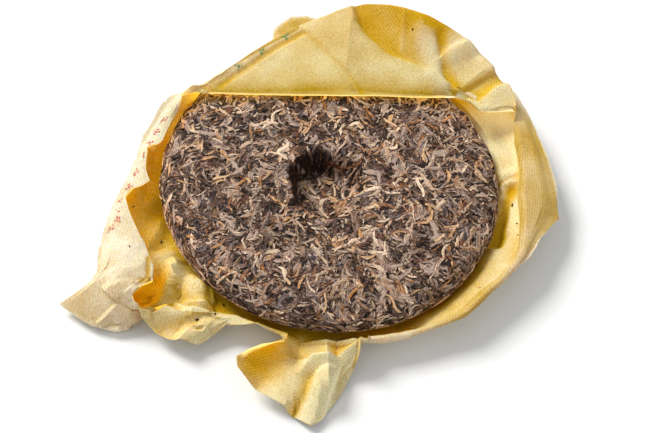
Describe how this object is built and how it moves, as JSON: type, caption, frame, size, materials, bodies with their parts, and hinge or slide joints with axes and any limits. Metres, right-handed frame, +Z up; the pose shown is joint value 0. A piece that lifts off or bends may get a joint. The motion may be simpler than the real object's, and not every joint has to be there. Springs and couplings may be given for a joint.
{
  "type": "pressed tea cake",
  "caption": "Pressed round of dark tea leaves with a hollow in its top, standing on its opened, crumpled yellow paper wrapper.",
  "frame": {"origin": "the cake's axis on the surface that the wrapper stands on", "axes": "+Z up through the cake's top, -Y toward the loose front flap of the paper, +X to the right of it"},
  "size_m": [0.2749, 0.2746, 0.0483],
  "materials": {
    "pressed_leaf": "dry pressed leaf, uneven and matt",
    "yellow_paper": "thin laid paper, creased, matt"
  },
  "bodies": {
    "root": {"tea_cake": "pressed_leaf", "paper_wrapper": "yellow_paper"}
  },
  "joints": []
}
